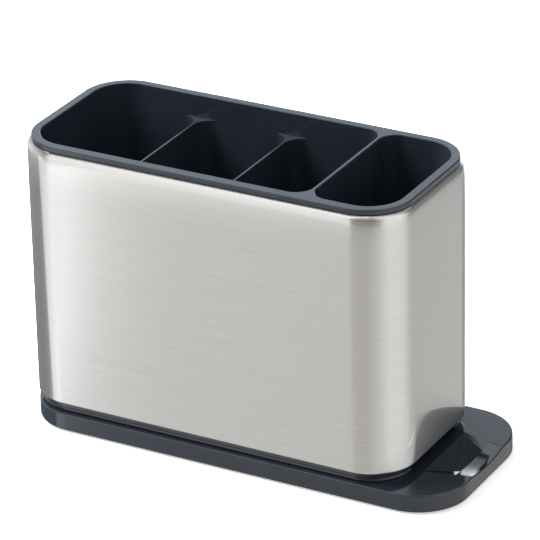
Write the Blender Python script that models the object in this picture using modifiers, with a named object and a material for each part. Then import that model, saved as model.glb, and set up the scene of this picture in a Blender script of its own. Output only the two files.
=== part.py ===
"""Sink caddy: a four-cell plastic insert hung in a brushed steel sleeve, which stands on a drip tray with a spout.

Metres, +Z up. The caddy stands on Z = 0 with its long side along X and its spout towards +X. The front faces -Y.
The origin is under the middle of the whole caddy.
"""
import math

import bmesh
import bpy
from mathutils import Matrix

# Clearance between pieces that seat on each other, and how far a cutter runs past what it cuts
SEAT_GAP = 0.0003
CUT_OVERRUN = 0.0020

# Steel sleeve: one sheet bent to a rounded rectangle, rolled inwards at the top and hemmed inwards at the foot
SLEEVE_LENGTH = 0.2160
SLEEVE_WIDTH = 0.0984
SLEEVE_HEIGHT = 0.1405
SLEEVE_CORNER_RADIUS = 0.0243
SHEET_THICKNESS = 0.0006
TOP_ROLL_RADIUS = 0.0030
TOP_LEDGE_WIDTH = 0.0012
HEM_RADIUS = 0.0010
HEM_LEDGE_WIDTH = 0.0035

# Insert: rim, wells and dividers
RIM_INSET = 0.0017
RIM_CORNER_RADIUS = 0.0242
RIM_HEIGHT = 0.0028
RIM_WIDTH = 0.0049
RIM_EDGE_RADIUS = 0.0004
WELL_EDGE_RADIUS = 0.0003
WELL_CORNER_RADIUS = 0.0186
WELL_FOOT_RADIUS = 0.0040
INSERT_WALL = 0.0019
INSERT_FLOOR = 0.0022
WALL_DRAFT = 0.0012
FULL_DIVIDER_FROM_RIGHT = 0.0426
FULL_DIVIDER_THICKNESS = 0.0019
FULL_DIVIDER_FILLET = 0.0095
LOW_DIVIDER_COUNT = 2
LOW_DIVIDER_THICKNESS = 0.0013
LOW_DIVIDER_DROP = 0.0123
LOW_DIVIDER_FILLET = 0.0094
DRAIN_SLOT_WIDTH = 0.0032
DRAIN_SLOT_PITCH = 0.0085
DRAIN_SLOT_LENGTH_SHARE = 0.62
DRAIN_FIELD_SHARE = 0.66

# Drip tray: skirt, plinth that carries the sleeve, drip floor, channel and pouring lip
TRAY_FRONT_MARGIN = 0.0009
TRAY_LEFT_MARGIN = 0.0007
TRAY_SPOUT_REACH = 0.0276
TRAY_CORNER_RADIUS = 0.0273
TRAY_HEIGHT = 0.0095
TRAY_EDGE_RADIUS = 0.0006
TRAY_WALL = 0.0022
TRAY_DECK = 0.0024
PLINTH_HEIGHT = 0.0050
PLINTH_INSET = 0.0035
PLINTH_FOOT_RADIUS = 0.0014
LOCATOR_RISE = 0.0050
LOCATOR_THICKNESS = 0.0016
LOCATOR_CLEARANCE = 0.0004
INSERT_DRIP_SPACE = 0.0015
DRIP_FLOOR_FALL = 0.0012
GATE_WIDTH = 0.0490
CHANNEL_END_WIDTH = 0.0352
CHANNEL_DEPTH = 0.0014
CHANNEL_WALL_LEAN = 0.0006
LIP_LENGTH = 0.0085
LIP_DIP = 0.00245
LIP_DIP_POWER = 2.6
RIB_THICKNESS = 0.0014
RIB_HEIGHT = 0.0035
RIB_COUNT = 5

# Feet: soft pads pressed into pockets under the tray
FOOT_RADIUS = 0.0060
FOOT_STANDOUT = 0.0010
FOOT_POCKET_DEPTH = 0.0015
FOOT_BOSS_WALL = 0.0016
FOOT_EDGE_RADIUS = 0.0004
FOOT_CORNER_SETBACK = 0.0160

# How finely round stretches are divided
CORNER_STEPS = 10
FILLET_STEPS = 5
EDGE_STEPS = 3
LIP_STEPS = 14
SLOT_STEPS = 6
FOOT_STEPS = 32

# Heights, from the ground up
TRAY_BOTTOM_Z = FOOT_STANDOUT
DECK_Z = TRAY_BOTTOM_Z + TRAY_HEIGHT
SLEEVE_BOTTOM_Z = DECK_Z + PLINTH_HEIGHT
SLEEVE_TOP_Z = SLEEVE_BOTTOM_Z + SLEEVE_HEIGHT
LOCATOR_TOP_Z = SLEEVE_BOTTOM_Z + LOCATOR_RISE
RIM_BOTTOM_Z = SLEEVE_TOP_Z + SEAT_GAP
RIM_TOP_Z = RIM_BOTTOM_Z + RIM_HEIGHT
INSERT_BOTTOM_Z = LOCATOR_TOP_Z + INSERT_DRIP_SPACE
WELL_FLOOR_Z = INSERT_BOTTOM_Z + INSERT_FLOOR
LOW_DIVIDER_TOP_Z = RIM_TOP_Z - LOW_DIVIDER_DROP

# How far in from the sleeve's outside the plinth's locating wall stands
LOCATOR_OUTER_INSET = HEM_RADIUS + HEM_LEDGE_WIDTH + LOCATOR_CLEARANCE
LOCATOR_INNER_INSET = LOCATOR_OUTER_INSET + LOCATOR_THICKNESS

# Places along X: the tray is centred on the origin and the sleeve stands towards its left end
TRAY_LENGTH = TRAY_LEFT_MARGIN + SLEEVE_LENGTH + TRAY_SPOUT_REACH
TRAY_WIDTH = SLEEVE_WIDTH + 2 * TRAY_FRONT_MARGIN
TRAY_LEFT_X = -TRAY_LENGTH / 2
TRAY_RIGHT_X = TRAY_LENGTH / 2
SLEEVE_LEFT_X = TRAY_LEFT_X + TRAY_LEFT_MARGIN
SLEEVE_RIGHT_X = SLEEVE_LEFT_X + SLEEVE_LENGTH
CHANNEL_START_X = SLEEVE_RIGHT_X - PLINTH_INSET

STEEL_COLOR = (0.62, 0.61, 0.58, 1.0)
PLASTIC_COLOR = (0.022, 0.028, 0.036, 1.0)
RUBBER_COLOR = (0.018, 0.018, 0.019, 1.0)


class Plan:
    """A rectangle in plan with its own radius at each corner, which can be drawn inset by any amount."""

    def __init__(self, left, right, front, back, radii):
        self.left, self.right, self.front, self.back = left, right, front, back
        self.radii = radii

    def outline(self, inset, steps=CORNER_STEPS):
        """Points of the outline, counter-clockwise from the front left corner; a negative inset grows it."""
        corners = (
            (self.left, self.front, 1, 1, math.pi),
            (self.right, self.front, -1, 1, 1.5 * math.pi),
            (self.right, self.back, -1, -1, 0),
            (self.left, self.back, 1, -1, 0.5 * math.pi),
        )
        points = []
        for (x, y, inward_x, inward_y, start), radius in zip(corners, self.radii):
            arc = radius - inset
            centre_x = x + inward_x * radius
            centre_y = y + inward_y * radius
            for step in range(steps + 1):
                angle = start + 0.5 * math.pi * step / steps
                points.append((centre_x + arc * math.cos(angle), centre_y + arc * math.sin(angle)))
        return points

    def ring(self, inset, z):
        """The outline as points in space at one height."""
        return [(x, y, z) for x, y in self.outline(inset)]


def quarter_round(radius, steps, from_level=True):
    """Points (across, along) of a quarter circle from its level end to its upright end, or the other way."""
    angles = [0.5 * math.pi * step / steps for step in range(steps + 1)]
    points = [(radius * (1 - math.sin(angle)), radius * (1 - math.cos(angle))) for angle in angles]
    return points if from_level else points[::-1]


def hollow_round(radius, steps):
    """Points (across, along) of a hollow quarter circle that starts level and ends upright."""
    angles = [0.5 * math.pi * step / steps for step in range(steps + 1)]
    return [(radius * math.sin(angle), radius * (1 - math.cos(angle))) for angle in angles]


def make_material(name, color, metallic, roughness):
    """A plain Principled material with the piece's colour."""
    material = bpy.data.materials.new(name)
    material.use_nodes = True
    material.diffuse_color = color
    shader = material.node_tree.nodes["Principled BSDF"]
    shader.inputs["Base Color"].default_value = color
    shader.inputs["Metallic"].default_value = metallic
    shader.inputs["Roughness"].default_value = roughness
    return material


def mesh_object(name, bm, collection, material=None):
    """Puts a bmesh into a new object with its faces pointing out."""
    bmesh.ops.recalc_face_normals(bm, faces=bm.faces)
    mesh = bpy.data.meshes.new(name)
    bm.to_mesh(mesh)
    bm.free()
    obj = bpy.data.objects.new(name, mesh)
    collection.objects.link(obj)
    if material:
        mesh.materials.append(material)
    return obj


def skin(bm, rings, around=False):
    """Joins neighbouring rings of equal length with quads; `around` joins the last ring to the first."""
    loops = [[bm.verts.new(point) for point in ring] for ring in rings]
    pairs = list(zip(loops, loops[1:]))
    if around:
        pairs.append((loops[-1], loops[0]))
    for low, high in pairs:
        for index in range(len(low)):
            after = (index + 1) % len(low)
            bm.faces.new((low[index], low[after], high[after], high[index]))
    return loops


def loft(name, rings, collection, material=None):
    """A closed solid through a stack of rings, with a flat cap on the first and the last."""
    bm = bmesh.new()
    loops = skin(bm, rings)
    bm.faces.new(loops[0])
    bm.faces.new(loops[-1])
    return mesh_object(name, bm, collection, material)


def frame_sweep(name, rings, collection, material=None):
    """A closed frame: a section carried round a plan, given as one ring for each corner of the section."""
    bm = bmesh.new()
    skin(bm, rings, around=True)
    return mesh_object(name, bm, collection, material)


def hide_cutter(obj):
    """Marks an object as a tool that shapes a piece and isn't one."""
    obj.hide_render = True
    obj.display_type = "WIRE"
    return obj


def add_boolean(obj, tool, operation):
    """Cuts a piece with a tool, or joins the tool to it."""
    modifier = obj.modifiers.new(operation.title() + " " + tool.name, "BOOLEAN")
    modifier.operation = operation
    modifier.solver = "EXACT"
    modifier.object = hide_cutter(tool)


def smooth_by_angle_nodes(sharp_angle=math.radians(30)):
    """Node group that shades every face smooth and keeps the edges sharper than an angle."""
    group = bpy.data.node_groups.new("Smooth by angle", "GeometryNodeTree")
    group.interface.new_socket("Geometry", in_out="INPUT", socket_type="NodeSocketGeometry")
    group.interface.new_socket("Geometry", in_out="OUTPUT", socket_type="NodeSocketGeometry")
    entry = group.nodes.new("NodeGroupInput")
    all_smooth = group.nodes.new("GeometryNodeSetShadeSmooth")
    edge_angle = group.nodes.new("GeometryNodeInputMeshEdgeAngle")
    sharper = group.nodes.new("FunctionNodeCompare")
    sharper.inputs["B"].default_value = sharp_angle
    keep_sharp = group.nodes.new("GeometryNodeSetShadeSmooth")
    keep_sharp.domain = "EDGE"
    keep_sharp.inputs["Shade Smooth"].default_value = False
    leave = group.nodes.new("NodeGroupOutput")
    group.links.new(entry.outputs["Geometry"], all_smooth.inputs["Geometry"])
    group.links.new(all_smooth.outputs["Geometry"], keep_sharp.inputs["Geometry"])
    group.links.new(edge_angle.outputs["Unsigned Angle"], sharper.inputs["A"])
    group.links.new(sharper.outputs["Result"], keep_sharp.inputs["Selection"])
    group.links.new(keep_sharp.outputs["Geometry"], leave.inputs["Geometry"])
    return group


def shade_round(obj, smooth_nodes):
    """Smooth shading after every other modifier, so that cut faces get it too."""
    modifier = obj.modifiers.new("Smooth by angle", "NODES")
    modifier.node_group = smooth_nodes


def sleeve_plan():
    """Outside of the steel sleeve in plan."""
    return Plan(SLEEVE_LEFT_X, SLEEVE_RIGHT_X, -SLEEVE_WIDTH / 2, SLEEVE_WIDTH / 2, [SLEEVE_CORNER_RADIUS] * 4)


def rim_plan():
    """Outside of the insert's rim in plan."""
    sleeve = sleeve_plan()
    return Plan(sleeve.left + RIM_INSET, sleeve.right - RIM_INSET, sleeve.front + RIM_INSET, sleeve.back - RIM_INSET,
                [RIM_CORNER_RADIUS] * 4)


def make_sleeve(collection, material, smooth_nodes):
    """Steel sleeve: the sheet's outer skin from hem to rolled top edge, given its thickness by Solidify."""
    plan = sleeve_plan()
    rings = [plan.ring(HEM_RADIUS + HEM_LEDGE_WIDTH, SLEEVE_BOTTOM_Z)]
    for across, along in quarter_round(HEM_RADIUS, EDGE_STEPS):
        rings.append(plan.ring(across, SLEEVE_BOTTOM_Z + along))
    for across, along in quarter_round(TOP_ROLL_RADIUS, FILLET_STEPS, from_level=False):
        rings.append(plan.ring(across, SLEEVE_TOP_Z - along))
    rings.append(plan.ring(TOP_ROLL_RADIUS + TOP_LEDGE_WIDTH, SLEEVE_TOP_Z))
    bm = bmesh.new()
    skin(bm, rings)
    sleeve = mesh_object("steel_sleeve", bm, collection, material)
    sheet = sleeve.modifiers.new("Sheet", "SOLIDIFY")
    sheet.thickness = SHEET_THICKNESS
    sheet.offset = -1
    sheet.use_even_offset = True
    shade_round(sleeve, smooth_nodes)


def well_cutter(name, plan, collection):
    """Drafted well: round foot, wall leaning out to the rim, and a flare that rounds the rim's inner edge."""
    rings = [plan.ring(WALL_DRAFT + across, WELL_FLOOR_Z + along)
             for across, along in quarter_round(WELL_FOOT_RADIUS, FILLET_STEPS)]
    flare = hollow_round(WELL_EDGE_RADIUS, EDGE_STEPS)
    rings += [plan.ring(-along, RIM_TOP_Z - WELL_EDGE_RADIUS + across) for across, along in flare]
    rings.append(plan.ring(-WELL_EDGE_RADIUS, RIM_TOP_Z + CUT_OVERRUN))
    return loft(name, rings, collection)


def low_divider_outline(centre_x, half_span, thickness, fillet, buried):
    """Thin wall in plan whose ends open into concave fillets, with its tips buried in the front and back walls."""
    half = thickness / 2
    quarter = []
    for step in range(FILLET_STEPS + 1):
        angle = 0.5 * math.pi * step / FILLET_STEPS
        quarter.append((half + fillet * (1 - math.cos(angle)), half_span - fillet * (1 - math.sin(angle))))
    quarter.append((half + fillet, half_span + buried))
    right_back = quarter
    left_back = [(-x, y) for x, y in reversed(quarter)]
    left_front = [(-x, -y) for x, y in quarter]
    right_front = [(x, -y) for x, y in reversed(quarter)]
    return [(centre_x + x, y) for x, y in right_back + left_back + left_front + right_front]


def make_insert(collection, cutters, material, smooth_nodes):
    """Plastic insert: drafted tub with a rim, cut by two wells, with the low dividers joined in the left one."""
    rim = rim_plan()
    wall_inset = RIM_WIDTH - INSERT_WALL
    rings = [rim.ring(wall_inset + WALL_DRAFT + across, INSERT_BOTTOM_Z + along)
             for across, along in quarter_round(WELL_FOOT_RADIUS, FILLET_STEPS)]
    rings.append(rim.ring(wall_inset, RIM_BOTTOM_Z))
    rings.append(rim.ring(0, RIM_BOTTOM_Z))
    rings += [rim.ring(across, RIM_TOP_Z - along)
              for across, along in quarter_round(RIM_EDGE_RADIUS, EDGE_STEPS, from_level=False)]
    insert = loft("caddy_insert", rings, collection, material)

    left, right = rim.left + RIM_WIDTH, rim.right - RIM_WIDTH
    front, back = rim.front + RIM_WIDTH, rim.back - RIM_WIDTH
    divider_right = right - FULL_DIVIDER_FROM_RIGHT
    divider_left = divider_right - FULL_DIVIDER_THICKNESS
    outer, inner = WELL_CORNER_RADIUS, FULL_DIVIDER_FILLET
    left_well = Plan(left, divider_left, front, back, (outer, inner, inner, outer))
    right_well = Plan(divider_right, right, front, back, (inner, outer, outer, inner))
    for name, plan in (("cut_left_well", left_well), ("cut_right_well", right_well)):
        add_boolean(insert, well_cutter(name, plan, cutters), "DIFFERENCE")

    cells = []
    cell_width = (left_well.right - left_well.left - LOW_DIVIDER_COUNT * LOW_DIVIDER_THICKNESS) / (
        LOW_DIVIDER_COUNT + 1)
    divider_draft = WALL_DRAFT * LOW_DIVIDER_DROP / (RIM_TOP_Z - WELL_FLOOR_Z)
    for number in range(LOW_DIVIDER_COUNT):
        cell_left = left + number * (cell_width + LOW_DIVIDER_THICKNESS)
        cells.append((cell_left, cell_left + cell_width))
        centre_x = cell_left + cell_width + LOW_DIVIDER_THICKNESS / 2
        buried = INSERT_WALL / 2
        top = low_divider_outline(centre_x, back - divider_draft, LOW_DIVIDER_THICKNESS, LOW_DIVIDER_FILLET, buried)
        foot = low_divider_outline(centre_x, back - WALL_DRAFT, LOW_DIVIDER_THICKNESS, LOW_DIVIDER_FILLET, buried)
        rings = [[(x, y, WELL_FLOOR_Z - INSERT_FLOOR / 2) for x, y in foot],
                 [(x, y, LOW_DIVIDER_TOP_Z) for x, y in top]]
        add_boolean(insert, loft(f"join_low_divider_{number + 1}", rings, cutters), "UNION")
    cells.append((divider_left - cell_width, divider_left))
    cells.append((divider_right, right))
    add_boolean(insert, drain_slots(cells, back - front, cutters), "DIFFERENCE")
    shade_round(insert, smooth_nodes)


def drain_slots(cells, well_width, collection):
    """Round-ended slots through the floor of each cell, front to back, as many as its middle holds."""
    bm = bmesh.new()
    half_length = well_width * DRAIN_SLOT_LENGTH_SHARE / 2
    for cell_left, cell_right in cells:
        field = (cell_right - cell_left) * DRAIN_FIELD_SHARE
        count = int(field / DRAIN_SLOT_PITCH) + 1
        first_x = (cell_left + cell_right - (count - 1) * DRAIN_SLOT_PITCH) / 2
        for number in range(count):
            slot = slot_plan(first_x + number * DRAIN_SLOT_PITCH, half_length)
            outline = slot.outline(0, SLOT_STEPS)
            loops = skin(bm, [[(x, y, INSERT_BOTTOM_Z - CUT_OVERRUN) for x, y in outline],
                              [(x, y, WELL_FLOOR_Z + CUT_OVERRUN) for x, y in outline]])
            bm.faces.new(loops[0])
            bm.faces.new(loops[-1])
    bmesh.ops.remove_doubles(bm, verts=bm.verts, dist=SEAT_GAP / 100)
    return mesh_object("cut_drain_slots", bm, collection)


def slot_plan(centre_x, half_length):
    """One round-ended slot in plan."""
    half = DRAIN_SLOT_WIDTH / 2
    return Plan(centre_x - half, centre_x + half, -half_length, half_length, [half] * 4)


def make_tray(collection, cutters, material, smooth_nodes, foot_places):
    """Drip tray: a thin deck with a skirt, ribs and foot bosses below, and the plinth and channel above."""
    plan = Plan(TRAY_LEFT_X, TRAY_RIGHT_X, -TRAY_WIDTH / 2, TRAY_WIDTH / 2, [TRAY_CORNER_RADIUS] * 4)
    rings = [plan.ring(across, TRAY_BOTTOM_Z + along)
             for across, along in quarter_round(TRAY_EDGE_RADIUS, EDGE_STEPS)]
    rings += [plan.ring(across, DECK_Z - along)
              for across, along in quarter_round(TRAY_EDGE_RADIUS, EDGE_STEPS, from_level=False)]
    tray = loft("base_tray", rings, collection, material)

    ceiling_z = DECK_Z - TRAY_DECK
    cavity = [plan.ring(TRAY_WALL, TRAY_BOTTOM_Z - CUT_OVERRUN), plan.ring(TRAY_WALL, ceiling_z)]
    add_boolean(tray, loft("cut_underside", cavity, cutters), "DIFFERENCE")
    add_boolean(tray, under_ribs(ceiling_z, cutters), "UNION")
    add_boolean(tray, channel_trough(ceiling_z, cutters), "UNION")
    for number, (x, y) in enumerate(foot_places):
        boss = upright_cylinder(f"join_foot_boss_{number + 1}", x, y, FOOT_RADIUS + SEAT_GAP + FOOT_BOSS_WALL,
                                TRAY_BOTTOM_Z, ceiling_z + TRAY_DECK / 2, cutters)
        add_boolean(tray, boss, "UNION")
    add_boolean(tray, drip_floor_wedge(cutters), "UNION")
    add_boolean(tray, plinth(cutters), "UNION")
    add_boolean(tray, gate_cutter(cutters), "DIFFERENCE")
    add_boolean(tray, channel_cutter(cutters), "DIFFERENCE")
    for number, (x, y) in enumerate(foot_places):
        pocket = upright_cylinder(f"cut_foot_pocket_{number + 1}", x, y, FOOT_RADIUS + SEAT_GAP,
                                  TRAY_BOTTOM_Z - CUT_OVERRUN, TRAY_BOTTOM_Z + FOOT_POCKET_DEPTH, cutters)
        add_boolean(tray, pocket, "DIFFERENCE")
    shade_round(tray, smooth_nodes)


def upright_cylinder(name, x, y, radius, bottom, top, collection):
    """A plain upright cylinder between two heights."""
    bm = bmesh.new()
    place = Matrix.Translation((x, y, (bottom + top) / 2))
    bmesh.ops.create_cone(bm, cap_ends=True, segments=FOOT_STEPS, radius1=radius, radius2=radius, depth=top - bottom,
                          matrix=place)
    return mesh_object(name, bm, collection)


def plinth(collection):
    """Raised frame under the sleeve: filleted foot, ledge for the hem, and a thin wall that locates the sleeve."""
    plan = sleeve_plan()
    ledge_z = SLEEVE_BOTTOM_Z - SEAT_GAP
    buried_z = DECK_Z - TRAY_DECK / 2
    foot_inset = PLINTH_INSET - PLINTH_FOOT_RADIUS
    section = [(LOCATOR_INNER_INSET, buried_z), (foot_inset, buried_z)]
    section += [(foot_inset + across, DECK_Z + along)
                for across, along in hollow_round(PLINTH_FOOT_RADIUS, FILLET_STEPS)]
    section += [(PLINTH_INSET, ledge_z), (LOCATOR_OUTER_INSET, ledge_z), (LOCATOR_OUTER_INSET, LOCATOR_TOP_Z),
                (LOCATOR_INNER_INSET, LOCATOR_TOP_Z)]
    rings = [plan.ring(inset, z) for inset, z in section]
    return frame_sweep("join_plinth", rings, collection)


def drip_floor_wedge(collection):
    """Floor inside the plinth that falls from the left end to the gate at the right."""
    plan = sleeve_plan()
    inset = LOCATOR_INNER_INSET - LOCATOR_THICKNESS / 2
    low = plan.ring(inset, DECK_Z - TRAY_DECK / 2)
    run = plan.right - plan.left
    high = [(x, y, DECK_Z + DRIP_FLOOR_FALL * (plan.right - x) / run) for x, y in plan.outline(inset)]
    return loft("join_drip_floor", [low, high], collection)


def gate_cutter(collection):
    """Gap in the plinth at the spout end, where the water leaves the drip floor."""
    half = GATE_WIDTH / 2
    inner = SLEEVE_RIGHT_X - LOCATOR_INNER_INSET - CUT_OVERRUN
    gate = Plan(inner, SLEEVE_RIGHT_X + CUT_OVERRUN, -half, half, [CUT_OVERRUN] * 4)
    return loft("cut_gate", [gate.ring(0, DECK_Z), gate.ring(0, LOCATOR_TOP_Z + CUT_OVERRUN)], collection)


def channel_sections():
    """Cross sections of the channel from the gate to the tray's edge: half its width, then points front to back.

    The floor falls evenly from the gate to the crease and keeps level across. Beyond the crease the lip changes from
    that straight line to a shallow trough at the tray's edge.
    """
    crease_x = TRAY_RIGHT_X - LIP_LENGTH
    run = TRAY_RIGHT_X - CHANNEL_START_X
    sections = []
    for x, depth, dip in ((CHANNEL_START_X, 0, 0), (crease_x, CHANNEL_DEPTH, 0), (TRAY_RIGHT_X, 0, LIP_DIP)):
        share = (x - CHANNEL_START_X) / run
        half = (GATE_WIDTH + (CHANNEL_END_WIDTH - GATE_WIDTH) * share) / 2
        foot_half = half - CHANNEL_WALL_LEAN * depth / CHANNEL_DEPTH
        row = []
        for step in range(LIP_STEPS + 1):
            across = 2 * step / LIP_STEPS - 1
            row.append((x, foot_half * across, DECK_Z - depth - dip * (1 - abs(across) ** LIP_DIP_POWER)))
        sections.append((half, row))
    return sections


def channel_cutter(collection):
    """What is taken out of the deck to leave the channel and the dip in the lip."""
    rings = []
    for half, row in channel_sections():
        x = row[0][0]
        rings.append([(x, -half, DECK_Z + CUT_OVERRUN)] + row + [(x, half, DECK_Z + CUT_OVERRUN)])
    rings.append([(x + CUT_OVERRUN, y, z) for x, y, z in rings[-1]])
    return loft("cut_channel", rings, collection)


def channel_trough(ceiling_z, collection):
    """Thickening under the channel that keeps the deck's thickness below the lowest point of the lip."""
    half = GATE_WIDTH / 2
    end_half = CHANNEL_END_WIDTH / 2 + TRAY_WALL
    end_x = TRAY_RIGHT_X - TRAY_WALL / 2
    plan = [(CHANNEL_START_X, -half), (end_x, -end_half), (end_x, end_half), (CHANNEL_START_X, half)]
    bottom = [(x, y, DECK_Z - LIP_DIP - TRAY_DECK) for x, y in plan]
    top = [(x, y, ceiling_z + TRAY_DECK / 2) for x, y in plan]
    return loft("join_trough", [bottom, top], collection)


def under_ribs(ceiling_z, collection):
    """Cross ribs and one long rib under the deck."""
    bm = bmesh.new()
    reach_x = TRAY_LENGTH / 2 - TRAY_WALL / 2
    reach_y = TRAY_WIDTH / 2 - TRAY_WALL / 2
    height = RIB_HEIGHT + TRAY_DECK / 2
    z = ceiling_z + TRAY_DECK / 2 - height / 2
    long_rib = Matrix.Translation((0, 0, z)) @ Matrix.Diagonal((2 * reach_x, RIB_THICKNESS, height, 1))
    bmesh.ops.create_cube(bm, size=1, matrix=long_rib)
    ribs = mesh_object("join_ribs", bm, collection)
    for number in range(RIB_COUNT):
        x = TRAY_LEFT_X + TRAY_LENGTH * (number + 1) / (RIB_COUNT + 1)
        bm = bmesh.new()
        cross = Matrix.Translation((x, 0, z)) @ Matrix.Diagonal((RIB_THICKNESS, 2 * reach_y, height, 1))
        bmesh.ops.create_cube(bm, size=1, matrix=cross)
        add_boolean(ribs, mesh_object(f"join_cross_rib_{number + 1}", bm, collection), "UNION")
    return ribs


def foot_centres():
    """Places of the four feet, set back alike from the tray's sides and ends."""
    reach_x = TRAY_LENGTH / 2 - FOOT_CORNER_SETBACK
    reach_y = TRAY_WIDTH / 2 - FOOT_CORNER_SETBACK
    return {
        "foot_front_left": (-reach_x, -reach_y),
        "foot_front_right": (reach_x, -reach_y),
        "foot_back_left": (-reach_x, reach_y),
        "foot_back_right": (reach_x, reach_y),
    }


def make_foot(name, x, y, collection, material, smooth_nodes):
    """Soft round pad with an eased lower edge: half its section turned about its own axis."""
    top = TRAY_BOTTOM_Z + FOOT_POCKET_DEPTH - SEAT_GAP
    profile = [(0, top), (FOOT_RADIUS, top)]
    profile += [(FOOT_RADIUS - across, along)
                for across, along in quarter_round(FOOT_EDGE_RADIUS, EDGE_STEPS, from_level=False)]
    profile.append((0, 0))
    bm = bmesh.new()
    verts = [bm.verts.new((across, 0, z)) for across, z in profile]
    for start, end in zip(verts, verts[1:]):
        bm.edges.new((start, end))
    mesh = bpy.data.meshes.new(name)
    bm.to_mesh(mesh)
    bm.free()
    mesh.materials.append(material)
    foot = bpy.data.objects.new(name, mesh)
    foot.location = (x, y, 0)
    collection.objects.link(foot)
    turn = foot.modifiers.new("Turn", "SCREW")
    turn.steps = FOOT_STEPS
    turn.render_steps = FOOT_STEPS
    turn.use_merge_vertices = True
    turn.merge_threshold = SEAT_GAP / 10
    turn.use_normal_calculate = False
    shade_round(foot, smooth_nodes)


def new_collection(name):
    """A collection linked into the scene."""
    collection = bpy.data.collections.new(name)
    bpy.context.scene.collection.children.link(collection)
    return collection


def main():
    """Clears the scene and builds the caddy."""
    for obj in list(bpy.data.objects):
        bpy.data.objects.remove(obj, do_unlink=True)
    caddy = new_collection("sink_caddy")
    cutters = new_collection("cutters")
    steel = make_material("brushed_steel", STEEL_COLOR, 1.0, 0.3)
    plastic = make_material("gloss_plastic", PLASTIC_COLOR, 0.0, 0.12)
    rubber = make_material("rubber", RUBBER_COLOR, 0.0, 0.7)

    smooth_nodes = smooth_by_angle_nodes()
    make_sleeve(caddy, steel, smooth_nodes)
    make_insert(caddy, cutters, plastic, smooth_nodes)
    feet = foot_centres()
    make_tray(caddy, cutters, plastic, smooth_nodes, list(feet.values()))
    for name, (x, y) in feet.items():
        make_foot(name, x, y, caddy, rubber, smooth_nodes)


main()
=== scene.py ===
"""Looks of the sink caddy: fine surfaces for its sleeve, insert and tray, their finishes, and a plain studio.

Metres, +Z up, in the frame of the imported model: the long side lies along X with the spout at +X, the front
faces -Y, and the feet stand on Z = 0. A plan is a rectangle with round corners, and most surfaces are a
section carried round one: each row of a grid is the plan's outline drawn in by some amount, at some height.
"""
import math

import bmesh
import bpy
import numpy as np
from mathutils import Matrix, Vector


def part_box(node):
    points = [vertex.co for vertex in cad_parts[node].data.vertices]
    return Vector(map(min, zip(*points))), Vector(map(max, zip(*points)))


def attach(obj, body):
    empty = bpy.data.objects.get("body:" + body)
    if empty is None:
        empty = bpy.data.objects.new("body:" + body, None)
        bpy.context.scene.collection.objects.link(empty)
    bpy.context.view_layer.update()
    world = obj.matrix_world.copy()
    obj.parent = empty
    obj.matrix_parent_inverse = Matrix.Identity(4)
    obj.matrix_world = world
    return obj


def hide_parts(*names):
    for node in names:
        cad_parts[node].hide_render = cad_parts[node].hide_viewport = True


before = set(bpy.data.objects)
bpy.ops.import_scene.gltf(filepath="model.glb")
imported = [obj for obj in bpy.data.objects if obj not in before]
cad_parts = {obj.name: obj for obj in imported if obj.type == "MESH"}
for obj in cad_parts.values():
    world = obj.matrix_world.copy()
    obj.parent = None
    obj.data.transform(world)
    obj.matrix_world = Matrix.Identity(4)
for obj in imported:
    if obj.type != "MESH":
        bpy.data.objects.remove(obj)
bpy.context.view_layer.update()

MM = 0.001
WELD = 0.002 * MM
UP = (0, 0, 1)
DOWN = (0, 0, -1)

# Steel sleeve
SLEEVE_CORNER = 24.3 * MM
SHEET = 0.6 * MM
TOP_ROLL = 3.0 * MM
TOP_LEDGE = 1.2 * MM
HEM_ROLL = 1.0 * MM
HEM_LEDGE = 3.5 * MM
CROWN_HEIGHT = 26.0 * MM
CROWN_INSET = 0.28 * MM

# Insert
RIM_CORNER = 24.2 * MM
RIM_HEIGHT = 2.8 * MM
RIM_WIDTH = 4.9 * MM
RIM_EDGE = 0.6 * MM
WELL_EDGE = 0.3 * MM
WELL_CORNER = 18.6 * MM
WELL_FOOT = 4.0 * MM
TUB_WALL = 1.9 * MM
TUB_FLOOR = 2.2 * MM
DRAFT = 1.2 * MM
FULL_DIVIDER_FROM_RIGHT = 42.6 * MM
FULL_DIVIDER = 1.9 * MM
FULL_DIVIDER_FILLET = 9.5 * MM
LOW_DIVIDERS = 2
LOW_DIVIDER = 1.3 * MM
LOW_DIVIDER_DROP = 12.3 * MM
LOW_DIVIDER_FILLET = 9.4 * MM
LOW_DIVIDER_EDGE = 0.35 * MM
SLOT_WIDTH = 3.2 * MM
SLOT_PITCH = 8.5 * MM
SLOT_LENGTH_SHARE = 0.62
SLOT_FIELD_SHARE = 0.66

# Tray
TRAY_CORNER = 27.3 * MM
TRAY_EDGE = 0.6 * MM
SKIRT = 2.2 * MM
DECK = 2.4 * MM
DECK_HEIGHT = 9.5 * MM
PLINTH_HEIGHT = 5.0 * MM
PLINTH_INSET = 3.5 * MM
PLINTH_FOOT = 1.4 * MM
PLINTH_EDGE = 0.3 * MM
SEAT_GAP = 0.3 * MM
LOCATOR_CLEARANCE = 0.4 * MM
LOCATOR = 1.6 * MM
DRIP_FALL = 1.2 * MM
GATE = 49.0 * MM
CHANNEL_END = 35.2 * MM
CHANNEL_DEPTH = 1.65 * MM
CHANNEL_EDGE = 0.4 * MM
CHANNEL_BANK = math.radians(13)
LIP_LENGTH = 8.5 * MM
LIP_DIP = 1.6 * MM
LIP_POWER = 2.0
LIP_SIDE_EASE = 0.12 * MM
LIP_ROLL = 0.2 * MM
LIP_ROLL_WIDTH = 2.2 * MM
RIB = 1.4 * MM
RIB_HEIGHT = 3.5 * MM
CROSS_RIBS = 5
SUNK = 0.3 * MM
FOOT_POCKET_RADIUS = 6.3 * MM
FOOT_POCKET_DEPTH = 1.5 * MM
FOOT_BOSS = 1.6 * MM
FEET = ("foot_front_left", "foot_front_right", "foot_back_left", "foot_back_right")

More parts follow.
